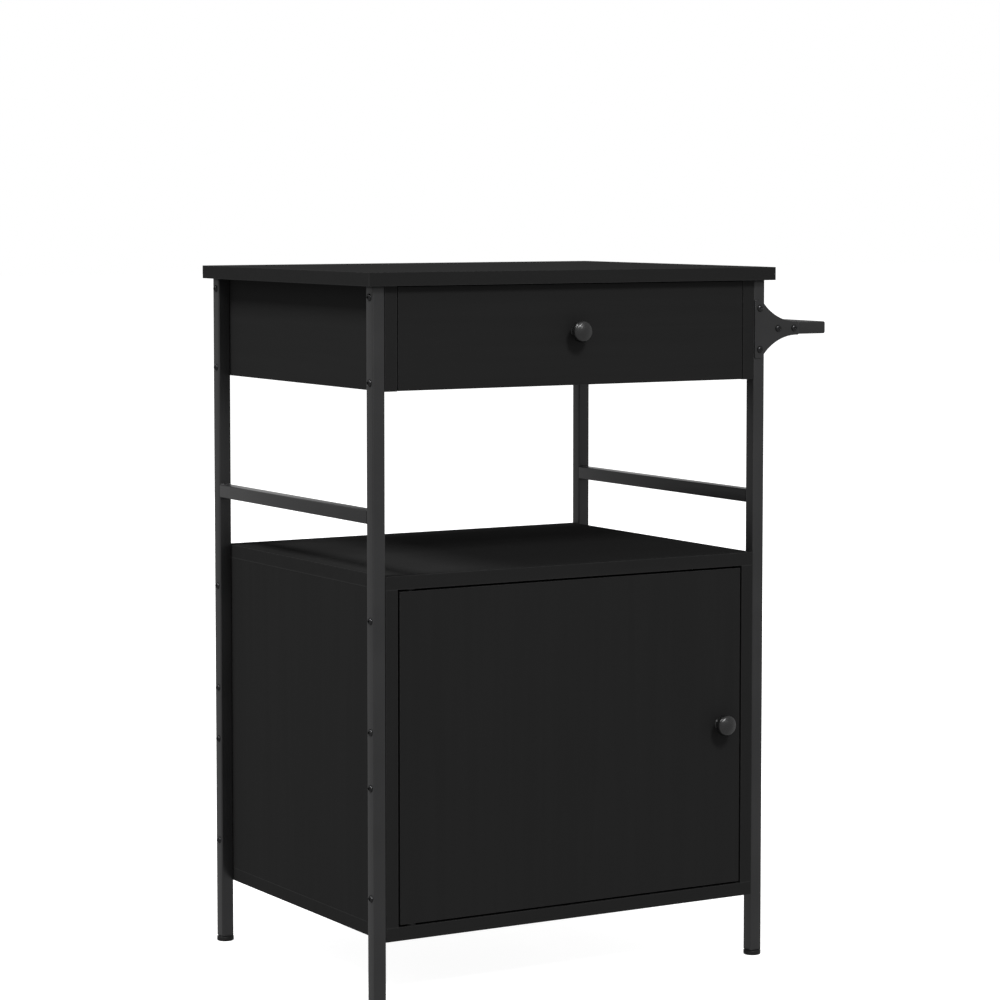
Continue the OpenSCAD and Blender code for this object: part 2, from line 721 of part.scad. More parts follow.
module roller() {
    difference() {
        rotate_extrude() polygon([
            [0, 0], [roller_r - 0.5, 0], [roller_r, 0.5], [roller_r, roller_w - 0.5],
            [roller_r - 0.5, roller_w], [0, roller_w]
        ]);
        translate([0, 0, -1]) cylinder(d = axle_d + 0.1, h = roller_w + 2);
    }
}
// Rivet that a roller turns on: its shank starts at Z = 0 and its head ends it
module roller_rivet(len) {
    union() {
        cylinder(d = axle_d, h = len);
        translate([0, 0, len - 0.01]) cylinder(d = axle_head_d, h = axle_head_h);
    }
}
module cabinet_roller_rivets() {
    color(ZINC) placed() for (s = [-1, 1])
        at_runner(s, 0, fixed_roller_y, fixed_roller_v) roller_rivet(fixed_roller_u + roller_w + 0.1);
}
module drawer_roller_rivets() {
    color(ZINC) placed() for (s = [-1, 1])
        at_runner(s, runner_space, moving_roller_y, moving_roller_v) rotate([180, 0, 0])
            roller_rivet(runner_space - moving_roller_u + 0.1);
}
module cabinet_roller(side) {
    color(NYLON) placed() at_runner(side, fixed_roller_u, fixed_roller_y, fixed_roller_v) roller();
}
module left_cabinet_roller() {
    cabinet_roller(-1);
}
module right_cabinet_roller() {
    cabinet_roller(1);
}
module drawer_roller(side) {
    color(NYLON) placed() at_runner(side, moving_roller_u, moving_roller_y, moving_roller_v) roller();
}
module left_drawer_roller() {
    drawer_roller(-1);
}
module right_drawer_roller() {
    drawer_roller(1);
}

// ---- Drawer ----
// Groove that holds the bottom sheet, cut into everything around it
module bottom_groove() {
    block([-box_in_x - groove, front_back_y - groove, bottom_z - groove_play],
        [box_in_x + groove, box_y1 + 1, bottom_z + drawer_bottom_t + groove_play]);
}
module drawer_front() {
    color(BOARD) placed() difference() {
        block([-drawer_x, -leg_y, drawer_z0], [drawer_x, front_back_y, drawer_z1]);
        bottom_groove();
        for (s = [-1, 1]) {
            at_joint(drawer_joint(s, drawer_cam_z)) cam_thread_cut();
            at_joint(drawer_joint(s, drawer_dowel_z)) dowel_cut();
        }
        knob_hole([0, drawer_z0 + drawer_knob_h]);
    }
}
module drawer_side(side) {
    color(INSIDE_BOARD) placed() difference() {
        block([side < 0 ? -box_x : box_in_x, front_back_y, box_z],
            [side < 0 ? -box_in_x : box_x, box_y1, box_z + drawer_side_h]);
        bottom_groove();
        at_joint(drawer_joint(side, drawer_cam_z)) cam_cut(drawer_t);
        at_joint(drawer_joint(side, drawer_dowel_z)) dowel_cut();
        for (j = drawer_back_dowels(side)) at_joint(j) dowel_cut();
        for (y = RUNNER_SCREW_Y) drawer_screw_place(side, y) small_screw_cut();
    }
}
module drawer_left_side() {
    drawer_side(-1);
}
module drawer_right_side() {
    drawer_side(1);
}
module drawer_back() {
    color(INSIDE_BOARD) placed() difference() {
        block([-box_in_x, box_y1 - drawer_t, bottom_z + drawer_bottom_t + groove_play],
            [box_in_x, box_y1, box_z + drawer_side_h]);
        for (s = [-1, 1], j = drawer_back_dowels(s)) at_joint(j) dowel_cut();
    }
}
module drawer_bottom() {
    color(INSIDE_BOARD) placed()
        block([-box_in_x - groove + 0.3, front_back_y - groove + 0.3, bottom_z],
            [box_in_x + groove - 0.3, box_y1, bottom_z + drawer_bottom_t]);
}
module drawer_cam_locks() {
    color(ZINC) placed() for (s = [-1, 1]) at_joint(drawer_joint(s, drawer_cam_z)) cam_drum(drawer_t);
}
module drawer_cam_bolts() {
    color(ZINC) placed() for (s = [-1, 1]) at_joint(drawer_joint(s, drawer_cam_z)) cam_bolt();
}
module drawer_dowels() {
    color(BEECH) placed() for (s = [-1, 1]) {
        at_joint(drawer_joint(s, drawer_dowel_z)) dowel();
        for (j = drawer_back_dowels(s)) at_joint(j) dowel();
    }
}

// ---- Knobs ----
// Turned knob with its foot on Z = 0 and its face at knob_out: a short neck that flares
// into a thick head with rounded edges and a slightly domed face
module knob() {
    r = knob_d / 2;
    back_z = knob_out - 12;               // back of the head
    edge = 6;                             // radius of the head's front edge
    dome = 1.7;                           // rise of the face within that edge
    difference() {
        rotate_extrude() polygon(concat(
            [[0, 0], [6.4, 0], [6.4, 1]],
            arc([11.2, 5], 5.4, 215, 130, 6),
            arc([r - 2.6, back_z + 2.6], 2.6, -70, 0, 4),
            arc([r - edge, knob_out - dome - edge], edge, 0, 72, 6),
            [[r * 0.4, knob_out - dome * 0.35], [0, knob_out]]
        ));
        translate([0, 0, -1]) cylinder(d = knob_screw_d + 2 * slip, h = knob_screw_in + 1 + slip);
    }
}
module knob_hole(xz) {
    translate([xz[0], 0, xz[1]]) rotate([90, 0, 0])
        translate([0, 0, -front_back_y - 1]) cylinder(d = knob_screw_d + 0.5, h = board_t + 2);
}
module knob_at(xz) {
    translate([xz[0], -leg_y, xz[1]]) rotate([90, 0, 0]) knob();
}
module knob_screw_at(xz) {
    translate([xz[0], front_back_y, xz[1]]) rotate([-90, 0, 0])
        domed_screw(8, 2.2, knob_screw_d, board_t + knob_screw_in - 0.5, 2.5);
}
module drawer_knob() {
    color(GUNMETAL) placed() knob_at([0, drawer_z0 + drawer_knob_h]);
}
module drawer_knob_screw() {
    color(ZINC) placed() knob_screw_at([0, drawer_z0 + drawer_knob_h]);
}
module door_knob() {
    color(GUNMETAL) placed() knob_at([door_x - door_knob_inset, door_z0 + door_knob_h]);
}
module door_knob_screw() {
    color(ZINC) placed() knob_screw_at([door_x - door_knob_inset, door_z0 + door_knob_h]);
}

// ---- Door ----
module door() {
    color(BOARD) placed() difference() {
        block([-door_x, -leg_y, door_z0], [door_x, front_back_y, door_z1]);
        knob_hole([door_x - door_knob_inset, door_z0 + door_knob_h]);
        for (z = [door_z0 - 1, door_z1 - pivot_in_door]) translate([pivot_x, pivot_y, z])
            cylinder(d = pivot_d + 2 * slip, h = pivot_in_door + 1);
        strike_place() translate([0, 0, -strike_pin_l])
            cylinder(d = strike_pin_d + 2 * slip, h = strike_pin_l + 1);
    }
}
module door_pivot_pins() {
    len = pivot_in_door + door_gap + pivot_in_bush;
    color(STEEL) placed() for (p = [[door_z1 - pivot_in_door, 1], [door_z0 + pivot_in_door, -1]])
        translate([pivot_x, pivot_y, p[0]]) mirror([0, 0, p[1] < 0 ? 1 : 0]) rotate_extrude() polygon([
            [0, 0], [pivot_d / 2, 0], [pivot_d / 2, len - 0.6], [pivot_d / 2 - 0.6, len], [0, len]
        ]);
}
// Hole in a board for a pivot bush, upwards from the board's face
module bush_cut() {
    translate([0, 0, -1]) cylinder(d = pivot_bush_d + 2 * slip, h = pivot_bush_l + 1 + slip);
}
module pivot_bush(flange_t) {
    difference() {
        union() {
            translate([0, 0, -flange_t]) cylinder(d = pivot_flange_d, h = flange_t);
            translate([0, 0, -0.01]) cylinder(d = pivot_bush_d, h = pivot_bush_l);
        }
        translate([0, 0, -flange_t - 1]) cylinder(d = pivot_d + 0.1, h = pivot_bush_l + flange_t + 2);
    }
}
module pivot_bushes() {
    color(PLASTIC) placed() {
        translate([pivot_x, pivot_y, shelf_z]) pivot_bush(1);
        translate([pivot_x, pivot_y, floor_z]) rotate([180, 0, 0]) pivot_bush(door_gap - door_play);
    }
}

// Magnet catch under the shelf board, and the plate on the door that it holds
module catch_screw_place(x) {
    translate([x, catch_y, shelf_z - catch_foot_t]) rotate([180, 0, 0]) children();
}
module magnet_catch() {
    color(PLASTIC) placed() difference() {
        union() {
            block([catch_x - catch_w / 2, catch_y - 5, shelf_z - catch_foot_t],
                [catch_x + catch_w / 2, catch_y + 5, shelf_z]);
            block([catch_x - catch_body_w / 2, catch_front, catch_z],
                [catch_x + catch_body_w / 2, catch_y + catch_d / 2, shelf_z]);
        }
        block([catch_x - catch_body_w / 2 + catch_wall, catch_front - 1, catch_z + catch_wall],
            [catch_x + catch_body_w / 2 - catch_wall, catch_y, magnet_top]);
        for (x = CATCH_SCREW_X) catch_screw_place(x) small_screw_cut();
    }
}
module catch_magnet() {
    half_w = catch_body_w / 2 - catch_wall - slip;
    color(ZINC) placed()
        block([catch_x - half_w, catch_front + 0.2, catch_z + catch_wall + slip],
            [catch_x + half_w, catch_y - slip, magnet_top - slip]);
}
module strike_place() {
    translate([catch_x, front_back_y, shelf_z - catch_h / 2 - 1.5]) rotate([-90, 0, 0]) children();
}
module strike_plate() {
    color(ZINC) placed() strike_place() union() {
        linear_extrude(strike_t) polygon(round_rect(strike_w, 8, 2));
        translate([0, 0, -strike_pin_l + slip]) cylinder(d = strike_pin_d, h = strike_pin_l + 0.5);
    }
}

worktop();
upper_left_panel();
upper_right_panel();
upper_back_panel();
shelf_board();
lower_left_panel();
lower_right_panel();
lower_back_panel();
bottom_board();
front_left_leg();
front_right_leg();
rear_left_leg();
rear_right_leg();
left_rail();
right_rail();
leg_top_plugs();
feet();
leg_bolts();
panel_inserts();
handle_bar();
front_handle_bracket();
rear_handle_bracket();
bracket_bolts();
bracket_rivet_nuts();
handle_bar_screws();
cam_locks();
cam_bolts();
wood_dowels();
carcase_screws();
small_screws();
left_cabinet_runner();
right_cabinet_runner();
cabinet_roller_rivets();
left_cabinet_roller();
right_cabinet_roller();
drawer_front();
drawer_left_side();
drawer_right_side();
drawer_back();
drawer_bottom();
left_drawer_runner();
right_drawer_runner();
drawer_roller_rivets();
left_drawer_roller();
right_drawer_roller();
drawer_runner_screws();
drawer_cam_locks();
drawer_cam_bolts();
drawer_dowels();
drawer_knob();
drawer_knob_screw();
door();
door_knob();
door_knob_screw();
door_pivot_pins();
pivot_bushes();
magnet_catch();
catch_magnet();
strike_plate();
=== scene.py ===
"""Kitchen island cart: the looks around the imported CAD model.

Everything is in metres in the row frame: X to the right, Y to the back, Z up from the floor.
Boards, runners and hidden fittings stay as CAD nodes: all get new materials, the larger ones softer edges.
Legs, rails, brackets, handle, feet, knobs and black screws are finer pieces that replace theirs.
"""
import math
import random

import bmesh
import bpy
from mathutils import Matrix, Vector


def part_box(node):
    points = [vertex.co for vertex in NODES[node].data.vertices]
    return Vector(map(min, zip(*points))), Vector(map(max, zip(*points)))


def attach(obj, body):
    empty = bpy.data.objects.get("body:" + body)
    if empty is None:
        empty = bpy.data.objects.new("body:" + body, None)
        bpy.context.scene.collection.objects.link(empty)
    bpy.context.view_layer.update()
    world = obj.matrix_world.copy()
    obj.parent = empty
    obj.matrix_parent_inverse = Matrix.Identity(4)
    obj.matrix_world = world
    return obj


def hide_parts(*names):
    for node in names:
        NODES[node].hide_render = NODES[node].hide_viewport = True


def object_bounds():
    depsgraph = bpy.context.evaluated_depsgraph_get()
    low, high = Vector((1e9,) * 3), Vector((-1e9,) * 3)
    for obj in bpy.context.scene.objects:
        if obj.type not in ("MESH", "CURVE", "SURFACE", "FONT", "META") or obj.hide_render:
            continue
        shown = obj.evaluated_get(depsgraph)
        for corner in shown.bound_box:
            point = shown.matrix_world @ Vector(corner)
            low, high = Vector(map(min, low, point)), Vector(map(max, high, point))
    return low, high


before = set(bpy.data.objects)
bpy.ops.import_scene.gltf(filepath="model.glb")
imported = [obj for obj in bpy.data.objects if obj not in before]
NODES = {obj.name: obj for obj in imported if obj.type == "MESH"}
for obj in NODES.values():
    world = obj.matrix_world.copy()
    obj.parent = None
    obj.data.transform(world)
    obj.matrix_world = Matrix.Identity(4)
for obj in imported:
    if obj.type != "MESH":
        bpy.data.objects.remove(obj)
cad_low, cad_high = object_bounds()
MM = 0.001

# ---- Camera: the photograph's viewing angle ----
CAMERA_OFFSET = (-1.9046, -3.2392)      # from the worktop's middle, left and in front of it
CAMERA_HEIGHT = 0.88115
CAMERA_YAW = 0.53584
CAMERA_TILT = 0.07214                   # downwards
FOCAL_LENGTH = 116.57
SENSOR = 36.0
VERTICAL_SHIFT = -0.07

# ---- Bodies ----
CARCASE = "carcase"
DRAWER = "drawer_box"
DOOR = "door_leaf"

BOARDS = ("worktop", "upper_left_panel", "upper_right_panel", "upper_back_panel", "shelf_board",
          "lower_left_panel", "lower_right_panel", "lower_back_panel", "bottom_board",
          "drawer_front", "door")
DRAWER_BOARDS = ("drawer_left_side", "drawer_right_side", "drawer_back", "drawer_bottom")
LEGS = ("front_left_leg", "front_right_leg", "rear_left_leg", "rear_right_leg")
RAILS = ("left_rail", "right_rail")
BRACKETS = ("front_handle_bracket", "rear_handle_bracket")


# ---------------------------------------------------------------- node material helpers
class Graph:
    """A material's node tree, with short calls for the nodes used here."""

    def __init__(self, name):
        self.material = bpy.data.materials.new(name)
        self.material.use_nodes = True
        self.tree = self.material.node_tree
        self.shader = self.tree.nodes["Principled BSDF"]
        self.place = self.add("ShaderNodeTexCoord").outputs["Object"]

    def add(self, kind, **settings):
        node = self.tree.nodes.new(kind)
        for key, value in settings.items():
            setattr(node, key, value)
        return node

    def link(self, source, target):
        self.tree.links.new(source, target)

    def feed(self, socket, value):
        if isinstance(value, bpy.types.NodeSocket):
            self.link(value, socket)
        else:
            socket.default_value = value

    def math(self, operation, a, b=0.0):
        node = self.add("ShaderNodeMath", operation=operation)
        self.feed(node.inputs[0], a)
        self.feed(node.inputs[1], b)
        return node.outputs[0]

    def mapped(self, scale):
        node = self.add("ShaderNodeMapping")
        self.link(self.place, node.inputs["Vector"])
        node.inputs["Scale"].default_value = scale
        return node.outputs["Vector"]

    def noise(self, scale, detail=3.0, roughness=0.55, place=None, distortion=0.0):
        node = self.add("ShaderNodeTexNoise")
        self.link(place or self.place, node.inputs["Vector"])
        node.inputs["Scale"].default_value = scale
        node.inputs["Detail"].default_value = detail
        node.inputs["Roughness"].default_value = roughness
        node.inputs["Distortion"].default_value = distortion
        return node.outputs["Fac"]

    def cells(self, scale):
        node = self.add("ShaderNodeTexVoronoi")
        self.link(self.place, node.inputs["Vector"])
        node.inputs["Scale"].default_value = scale
        return node.outputs["Distance"]

    def spread(self, value, low, high, to_low=0.0, to_high=1.0):
        node = self.add("ShaderNodeMapRange", interpolation_type="SMOOTHSTEP")
        self.feed(node.inputs["Value"], value)
        for key, number in (("From Min", low), ("From Max", high), ("To Min", to_low), ("To Max", to_high)):
            node.inputs[key].default_value = number
        return node.outputs["Result"]

    def mix(self, factor, a, b):
        """Colour between a and b, which are RGB triples or sockets."""
        node = self.add("ShaderNodeMix", data_type="RGBA")
        self.feed(node.inputs["Factor"], factor)
        for socket, value in ((node.inputs[6], a), (node.inputs[7], b)):
            self.feed(socket, value if isinstance(value, bpy.types.NodeSocket) else (*value, 1.0))
        return node.outputs[2]

    def bump(self, height, strength, distance):
        node = self.add("ShaderNodeBump")
        node.inputs["Strength"].default_value = strength
        node.inputs["Distance"].default_value = distance
        self.link(height, node.inputs["Height"])
        return node.outputs["Normal"]

    def set(self, **sockets):
        for key, value in sockets.items():
            self.feed(self.shader.inputs[key.replace("_", " ")], value)
        return self.material


def grey(level, tint=(1.0, 1.0, 1.0)):
    return tuple(level * t for t in tint)


def worn(colour, factor):
    return tuple(min(1.0, c * factor) for c in colour)


# ---------------------------------------------------------------- materials
BAND = 0.9 * MM          # thickness of a board's edge band
BOARD_BLACK = grey(0.0182)
HANDLE_BLACK = grey(0.0270, (1.0, 1.0, 1.01))
STEEL_BLACK = grey(0.0335, (1.0, 1.0, 1.02))


def board_material(node, black, grain_axis=None, gloss=0.0):
    """Black melamine on board: fine pores, a faint pressed grain, an edge-band seam and rubbed edges."""
    low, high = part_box(node)
    size = high - low
    thin = min(range(3), key=lambda i: size[i])
    wide = [i for i in range(3) if i != thin]
    along = grain_axis if grain_axis is not None else max(wide, key=lambda i: size[i])
    g = Graph("melamine_" + node)
    stretch = [1.0, 1.0, 1.0]
    stretch[along] = 0.035
    grain_place = g.mapped(stretch)
    fibre = g.noise(420.0, 4.0, 0.6, grain_place, 0.4)
    figure = g.noise(60.0, 3.0, 0.5, grain_place, 1.2)
    pores = g.noise(2600.0, 2.0, 0.5)
    cloud = g.noise(5.0, 3.0, 0.5)

    split = g.add("ShaderNodeSeparateXYZ")
    g.link(g.place, split.inputs[0])
    inside = [g.math("MINIMUM", g.math("SUBTRACT", split.outputs[i], low[i]),
                     g.math("SUBTRACT", high[i], split.outputs[i])) for i in range(3)]
    to_edge = g.math("MINIMUM", inside[wide[0]], inside[wide[1]])
    further = g.math("MAXIMUM", inside[wide[0]], inside[wide[1]])
    nearest_edge = g.math("MAXIMUM", to_edge, g.math("MINIMUM", further, inside[thin]))
    on_face = g.spread(inside[thin], 0.2 * MM, 0.6 * MM, 1.0, 0.0)
    from_seam = g.math("ABSOLUTE", g.math("SUBTRACT", to_edge, BAND))
    seam = g.math("MULTIPLY", g.spread(from_seam, 0.06 * MM, 0.16 * MM, 1.0, 0.0), on_face)
    ragged = g.math("MULTIPLY", g.math("SUBTRACT", g.noise(300.0, 4.0), 0.5), 1.6 * MM)
    rub = g.spread(g.math("ADD", nearest_edge, ragged), 0.1 * MM, 0.9 * MM, 1.0, 0.0)

    tone = g.mix(g.spread(figure, 0.35, 0.65), worn(black, 0.98), worn(black, 1.03))
    tone = g.mix(g.spread(cloud, 0.3, 0.7, 0.0, 0.35), tone, worn(black, 1.07))
    tone = g.mix(g.math("MULTIPLY", rub, 0.45), tone, worn(black, 2.1))
    tone = g.mix(g.math("MULTIPLY", seam, 0.6), tone, worn(black, 0.35))
    height = g.math("ADD", g.math("MULTIPLY", fibre, 0.55), g.math("MULTIPLY", pores, 0.45))
    height = g.math("SUBTRACT", height, g.math("MULTIPLY", seam, 0.9))
    rough = g.math("ADD", g.spread(figure, 0.3, 0.7, 0.62, 0.68), g.math("MULTIPLY", pores, 0.06))
    rough = g.math("SUBTRACT", rough, 0.45 * gloss)
    return g.set(Base_Color=tone, Roughness=g.math("SUBTRACT", rough, g.math("MULTIPLY", rub, 0.1)),
                 Normal=g.bump(height, 0.15, 0.05 * MM), Specular_IOR_Level=gloss)


def powder_coat(name, colour, roughness):
    """Powder coat on steel: orange peel, fine speckle and slightly bared edges."""
    g = Graph(name)
    peel = g.noise(900.0, 2.0, 0.45)
    speckle = g.cells(2400.0)
    cloud = g.noise(14.0, 3.0)
    bare = g.spread(g.add("ShaderNodeNewGeometry").outputs["Pointiness"], 0.53, 0.60)
    bare = g.math("MULTIPLY", bare, g.spread(g.noise(180.0, 3.0), 0.45, 0.65, 0.1, 0.6))
    tone = g.mix(g.spread(cloud, 0.3, 0.7), worn(colour, 0.94), worn(colour, 1.07))
    tone = g.mix(g.spread(speckle, 0.15, 0.5, 0.25, 0.0), tone, worn(colour, 1.5))
    tone = g.mix(bare, tone, worn(colour, 2.0))
    height = g.math("ADD", peel, g.math("MULTIPLY", speckle, 0.35))
    rough = g.spread(cloud, 0.3, 0.7, roughness - 0.03, roughness + 0.04)
    return g.set(Base_Color=tone, Roughness=rough, Normal=g.bump(height, 0.25, 0.10 * MM),
                 Specular_IOR_Level=0.38, Metallic=0.50)


def bare_metal(name, colour, roughness, brush=(1.0, 1.0, 1.0), metallic=1.0):
    """Plated or polished metal: brushing or tumbling marks and a few darker stains."""
    g = Graph(name)
    marks = g.noise(1400.0, 3.0, 0.6, g.mapped(brush))
    stain = g.noise(90.0, 4.0, 0.6)
    tone = g.mix(g.spread(stain, 0.35, 0.7), colour, worn(colour, 0.82))
    rough = g.spread(marks, 0.25, 0.75, roughness * 0.85, roughness * 1.25)
    return g.set(Base_Color=tone, Roughness=rough, Metallic=metallic, Normal=g.bump(marks, 0.10, 0.03 * MM))


def moulded(name, colour, roughness, grit=1800.0, gloss=0.5):
    """Moulded plastic: fine spark texture and slight flow marks."""
    g = Graph(name)
    spark = g.noise(grit, 3.0, 0.6)
    flow = g.noise(40.0, 2.0, 0.5, distortion=1.5)
    tone = g.mix(g.spread(flow, 0.3, 0.7), worn(colour, 0.93), worn(colour, 1.05))
    rough = g.spread(spark, 0.3, 0.7, roughness - 0.06, roughness + 0.06)
    return g.set(Base_Color=tone, Roughness=rough, Normal=g.bump(spark, 0.3, 0.05 * MM),
                 Specular_IOR_Level=gloss)


def epoxy_coat(name, colour):
    """White epoxy-coated runner sheet: slight waviness and grey rolling marks."""
    g = Graph(name)
    wave = g.noise(220.0, 2.0, 0.5, g.mapped((1.0, 0.15, 1.0)))
    grime = g.noise(35.0, 4.0, 0.65, g.mapped((1.0, 0.2, 1.0)))
    tone = g.mix(g.spread(grime, 0.5, 0.8, 0.0, 0.35), colour, worn(colour, 0.72))
    return g.set(Base_Color=tone, Roughness=g.spread(wave, 0.3, 0.7, 0.30, 0.38),
                 Normal=g.bump(wave, 0.15, 0.12 * MM))


def beech(name, colour):
    """Beech dowel: straight fibres with short dark flecks."""
    g = Graph(name)
    fibre = g.noise(900.0, 4.0, 0.6, g.mapped((1.0, 1.0, 0.05)))
    fleck = g.spread(g.noise(700.0, 2.0, 0.5, g.mapped((1.0, 1.0, 0.2))), 0.62, 0.72)
    tone = g.mix(fibre, worn(colour, 0.8), worn(colour, 1.15))
    tone = g.mix(g.math("MULTIPLY", fleck, 0.5), tone, worn(colour, 0.45))
    return g.set(Base_Color=tone, Roughness=0.62, Normal=g.bump(fibre, 0.3, 0.06 * MM))


STEEL = powder_coat("powder_coat", STEEL_BLACK, 0.31)
SCREW_BLACK = bare_metal("black_oxide", grey(0.034, (1.0, 1.0, 1.03)), 0.28)
GUNMETAL = bare_metal("gunmetal", grey(0.013, (1.0, 1.0, 1.01)), 0.27, metallic=0.10)
ZINC = bare_metal("zinc_plate", (0.58, 0.60, 0.62), 0.32)
NICKEL = bare_metal("magnet_nickel", (0.42, 0.42, 0.43), 0.38, (1.0, 0.1, 1.0))
BLACK_PLASTIC = moulded("black_plastic", grey(0.013), 0.48, gloss=0.12)
NYLON = moulded("nylon", (0.80, 0.78, 0.72), 0.45, 1200.0)
RUNNER_COAT = epoxy_coat("runner_epoxy", (0.74, 0.74, 0.72))
BEECH = beech("beech", (0.58, 0.39, 0.20))


# ---------------------------------------------------------------- mesh helpers
SAME_POINT = 0.004 * MM  # CAD vertices closer than this are one


def dress(obj, material):
    obj.data.materials.clear()
    obj.data.materials.append(material)
    return obj


def soften(node, width):
    """Rounds a CAD node's edges with modifiers; its mesh stays as it is."""
    obj = NODES[node]
    weld = obj.modifiers.new("join_faces", "WELD")
    weld.merge_threshold = SAME_POINT
    flat = obj.modifiers.new("flat_faces", "DECIMATE")
    flat.decimate_type = "DISSOLVE"
    flat.angle_limit = math.radians(0.3)
    bevel = obj.modifiers.new("edge_radius", "BEVEL")
    bevel.width = width
    bevel.segments = 2
    bevel.limit_method = "ANGLE"
    bevel.angle_limit = math.radians(40)
    bevel.miter_outer = "MITER_ARC"
    normals = obj.modifiers.new("normals", "WEIGHTED_NORMAL")
    normals.keep_sharp = True
    normals.weight = 100
    return obj


def new_piece(name, mesh, body, slot, material, *stands_for):
    """Makes an object of a bmesh built in the row frame, and fits it to the frame."""
    data = bpy.data.meshes.new(name)
    bmesh.ops.recalc_face_normals(mesh, faces=mesh.faces)
    mesh.to_mesh(data)
    mesh.free()
    obj = bpy.data.objects.new(name, data)
    bpy.context.scene.collection.objects.link(obj)
    data.shade_smooth()
    data.set_sharp_from_angle(angle=math.radians(35))
    dress(obj, material)
    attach(obj, body)
    if stands_for:
        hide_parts(*stands_for)
    return obj


def round_outline(width, depth, radius, steps):
    """Corners of a rectangle with round corners, anticlockwise around the origin."""
    points = []
    for quarter, (sx, sy) in enumerate(((1, 1), (-1, 1), (-1, -1), (1, -1))):
        for i in range(steps + 1):
            a = math.pi / 2 * (quarter + i / steps)
            points.append((sx * (width / 2 - radius) + radius * math.cos(a),
                           sy * (depth / 2 - radius) + radius * math.sin(a)))
    return points


def inset(points, distance):
    """The outline moved inwards by a distance, each corner along its bisector."""
    result = []
    count = len(points)
    for i in range(count):
        before, here, after = (Vector(points[j % count]) for j in (i - 1, i, i + 1))
        a, b = (here - before), (after - here)
        a.normalize()
        b.normalize()
        normal = Vector((-(a.y + b.y), a.x + b.x))
        normal.normalize()
        cosine = max(0.4, normal.dot(Vector((-a.y, a.x))))
        result.append(tuple(here + normal * (distance / cosine)))
    return result


def add_loft(mesh, rings, matrix):
    """Closed skin through rings of points, capped at both ends, placed by matrix."""
    loops = [[mesh.verts.new(matrix @ Vector(p)) for p in ring] for ring in rings]
    for low, high in zip(loops, loops[1:]):
        for i in range(len(low)):
            j = (i + 1) % len(low)
            mesh.faces.new((low[i], low[j], high[j], high[i]))
    mesh.faces.new(list(reversed(loops[0])))
    mesh.faces.new(loops[-1])


def add_bar(mesh, outline, length, edge, matrix, steps=3):
    """Prism of an outline along local Z from 0 to length, its end edges rounded by edge."""
    rings = []
    for i in range(steps, -1, -1):
        a = math.pi / 2 * i / steps
        rings.append([(x, y, edge * (1 - math.sin(a))) for x, y in inset(outline, edge * (1 - math.cos(a)))])
    top = [[(x, y, length - z) for x, y, z in ring] for ring in reversed(rings)]
    add_loft(mesh, rings + top, matrix)


def add_lathe(mesh, profile, segments, matrix):
    """Solid turned from (radius, height) points that start and end on the axis."""
    turns = [2 * math.pi * i / segments for i in range(segments)]
    rings = []
    for radius, height in profile[1:-1]:
        ring = [(radius * math.cos(a), radius * math.sin(a), height) for a in turns]
        rings.append([mesh.verts.new(matrix @ Vector(point)) for point in ring])
    ends = [mesh.verts.new(matrix @ Vector((0, 0, profile[k][1]))) for k in (0, -1)]
    for low, high in zip(rings, rings[1:]):
        for i in range(segments):
            j = (i + 1) % segments
            mesh.faces.new((low[i], low[j], high[j], high[i]))
    for i in range(segments):
        j = (i + 1) % segments
        mesh.faces.new((ends[0], rings[0][j], rings[0][i]))
        mesh.faces.new((ends[1], rings[-1][i], rings[-1][j]))


def arc(cx, cy, radius, start, end, steps):
    """Points (x, y) of an arc, angles in degrees."""
    angles = [math.radians(start + (end - start) * i / steps) for i in range(steps + 1)]
    return [(cx + radius * math.cos(a), cy + radius * math.sin(a)) for a in angles]


def turned(direction, place):
    """Matrix that takes local +Z to a direction and the origin to a place."""
    return Matrix.Translation(place) @ Vector(direction).to_track_quat("Z", "Y").to_matrix().to_4x4()


# ---------------------------------------------------------------- steel frame
TUBE_RADIUS = 1.5 * MM   # of the tubes' long edges
TUBE_END = 0.35 * MM     # edge radius of a leg's cut ends
RAIL_END = 0.05 * MM     # and of a rail's, which are welded on
WELD_SIZE = 1.5 * MM
WELD_ROOT = 0.2 * MM     # how deep the weld's root lies in the tubes
WELD_RIPPLES = 22
WELD_ARC_STEPS = 5


def make_tubes():
    for node in LEGS:
        low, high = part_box(node)
        mesh = bmesh.new()
        outline = round_outline(high.x - low.x, high.y - low.y, TUBE_RADIUS, 8)
        middle = Matrix.Translation(((low.x + high.x) / 2, (low.y + high.y) / 2, low.z))
        add_bar(mesh, outline, high.z - low.z, TUBE_END, middle)
        new_piece(node.replace("_leg", "_leg_tube"), mesh, CARCASE, "powder_steel", STEEL, node)
    for node in RAILS:
        low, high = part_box(node)
        mesh = bmesh.new()
        outline = round_outline(high.x - low.x, high.z - low.z, TUBE_RADIUS, 8)
        place = turned((0, -1, 0), ((low.x + high.x) / 2, high.y, (low.z + high.z) / 2))
        add_bar(mesh, outline, high.y - low.y, RAIL_END, place)
        new_piece(node + "_tube", mesh, CARCASE, "powder_steel", STEEL, node)


def weld_ring(x, y, z, size, inwards, outwards):
    """Section of a weld in the corner at (y, z): a hollow fillet whose root sinks into both tubes."""
    ring = [(x, y - WELD_ROOT * inwards, z - WELD_ROOT * outwards)]
    for i in range(WELD_ARC_STEPS + 1):
        a = math.pi / 2 * i / WELD_ARC_STEPS
        ring.append((x, y + inwards * size * math.cos(a) ** 1.2, z + outwards * size * math.sin(a) ** 1.2))
    return ring


